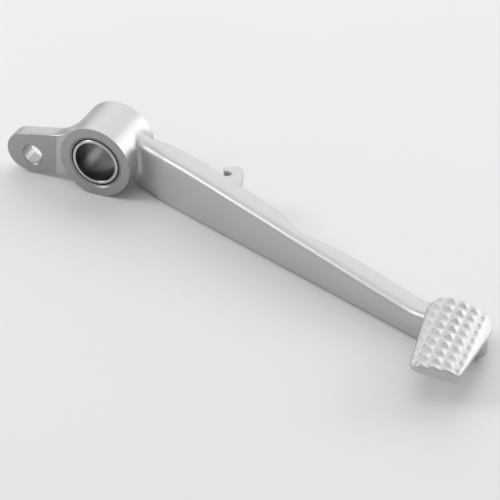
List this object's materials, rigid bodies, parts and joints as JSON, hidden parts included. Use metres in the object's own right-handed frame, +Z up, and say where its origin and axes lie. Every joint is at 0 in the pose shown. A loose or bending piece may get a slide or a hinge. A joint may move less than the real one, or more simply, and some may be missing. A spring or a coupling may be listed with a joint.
{
  "type": "motorcycle foot lever",
  "caption": "Forged aluminium motorcycle foot lever with a serrated foot pad, a rod eye, a spring hook and a boss that turns on a steel pivot sleeve.",
  "frame": {"origin": "centre of the pivot bore, half way along the boss", "axes": "+Y along the pivot bore, +X from the bore towards the foot pad, +Z up when the lever stands on its boss and the underside of its arm"},
  "size_m": [0.2172, 0.0957, 0.0306],
  "materials": {
    "silver_coat": "satin silver coat over forged aluminium, with fine grain",
    "bush_bronze": "sintered bronze lining, matte",
    "seal_rubber": "black nitrile rubber",
    "plated_steel": "turned and zinc plated steel"
  },
  "bodies": {
    "lever": {"lever_body": "silver_coat", "near_bush": "bush_bronze", "far_bush": "bush_bronze", "near_seal": "seal_rubber", "far_seal": "seal_rubber"},
    "sleeve": {"pivot_sleeve": "plated_steel"}
  },
  "joints": [
    {"name": "pivot_turn", "type": "hinge", "parent": "lever", "child": "sleeve", "pos_m": [0, 0, 0], "axis": [0, 1, 0], "continuous": true}
  ]
}
